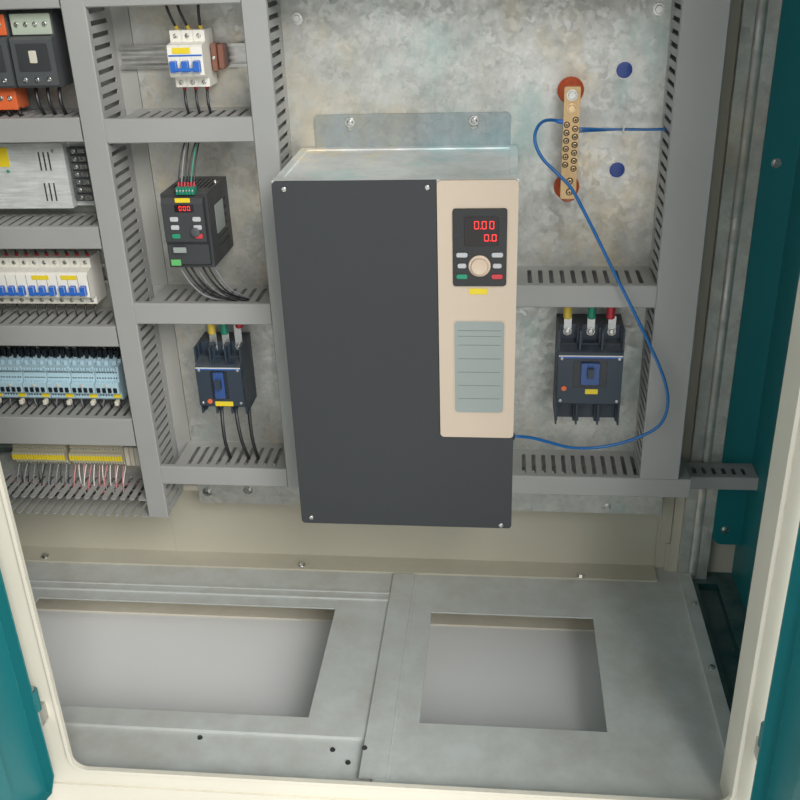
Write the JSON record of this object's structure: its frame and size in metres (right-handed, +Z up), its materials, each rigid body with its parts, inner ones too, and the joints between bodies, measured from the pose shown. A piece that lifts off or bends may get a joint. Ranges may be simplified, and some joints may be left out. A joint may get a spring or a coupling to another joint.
{
  "type": "plastic-extruder control cabinet",
  "caption": "Free-standing steel control cabinet of a plastic extruder: two hinged leaves stand open on mounting plates with slotted ducts, motor drives, breakers, relays and a neutral bar",
  "frame": {"origin": "Centre of the anchor-hole pattern in the plinth's foot, on the floor", "axes": "+Z up, the door side faces -Y, +X to the right as seen from the front"},
  "size_m": [1.6572, 1.1125, 1.8],
  "materials": {
    "floor_paint": "satin pale grey powder coat, dusty",
    "inner_teal": "satin dark teal, in shade",
    "beige_paint": "satin beige powder coat",
    "teal_paint": "fine-textured teal powder coat",
    "frame_paint": "satin cream powder coat",
    "handle_black": "matt black moulded handle",
    "hinge_zinc": "zinc-plated steel",
    "galvanised": "galvanised sheet with spangle",
    "strip_grey": "satin grey steel strip",
    "rail_zinc": "dull zinc-plated rolled rail",
    "duct_grey": "matt grey rigid plastic",
    "rail_bright": "bright zinc-plated rail",
    "drive_metal": "zinc-grey sheet housing",
    "drive_dark": "fine-textured dark grey cover",
    "drive_pale": "satin pale beige front strip",
    "keypad_black": "gloss black operator panel",
    "small_drive_grey": "matt charcoal housing",
    "breaker_grey": "matt dark grey moulded case",
    "breaker_white": "satin white moulded case",
    "contactor_grey": "matt dark grey moulded case",
    "supply_steel": "bright sheet casing with slits",
    "relay_cyan": "pale cyan relay sockets",
    "terminal_grey": "beige-grey terminal blocks",
    "brass_bar": "dull brass bar",
    "insulator_orange": "glossy orange-red insulator",
    "lead_blue": "blue insulated single-core lead"
  },
  "bodies": {
    "cabinet": {"plinth": "frame_paint", "floor_plate": "floor_paint", "floor_beam": "floor_paint", "floor_gutter": "inner_teal", "back_wall": "beige_paint", "side_wall_left": "teal_paint", "side_wall_right": "teal_paint", "roof": "teal_paint", "front_frame": "frame_paint", "fixed_panel": "teal_paint", "hinges_left": "hinge_zinc", "hinges_right": "hinge_zinc", "plate_rails": "beige_paint", "plate_main": "galvanised", "plate_left": "galvanised", "joint_strip": "strip_grey", "corner_rail": "rail_zinc", "duct_v1": "duct_grey", "duct_v2": "duct_grey", "duct_v3": "duct_grey", "ducts_left": "duct_grey", "ducts_middle": "duct_grey", "ducts_right": "duct_grey", "duct_open": "duct_grey", "din_rails": "rail_bright", "drive_chassis": "drive_metal", "drive_cover": "drive_dark", "drive_strip": "drive_pale", "drive_keypad": "keypad_black", "drive_flange": "drive_metal", "small_drive": "small_drive_grey", "breaker_left": "breaker_grey", "breaker_right": "breaker_grey", "breaker_top": "breaker_white", "contactor_row": "contactor_grey", "power_supply": "supply_steel", "breaker_row": "breaker_white", "relay_row": "relay_cyan", "terminal_row": "terminal_grey", "neutral_bar": "brass_bar", "insulators": "insulator_orange", "blue_lead": "lead_blue"},
    "door_left": {"door_left": "teal_paint"},
    "door_right": {"door_right": "teal_paint", "door_handle": "handle_black"}
  },
  "joints": [
    {"name": "door_left_hinge", "type": "hinge", "parent": "cabinet", "child": "door_left", "pos_m": [-0.328, -0.3175, 0.9], "axis": [0, 0, -1], "range_deg": [-105, 10]},
    {"name": "door_right_hinge", "type": "hinge", "parent": "cabinet", "child": "door_right", "pos_m": [0.696, -0.3175, 0.9], "axis": [0, 0, 1], "range_deg": [-105, 10]}
  ]
}
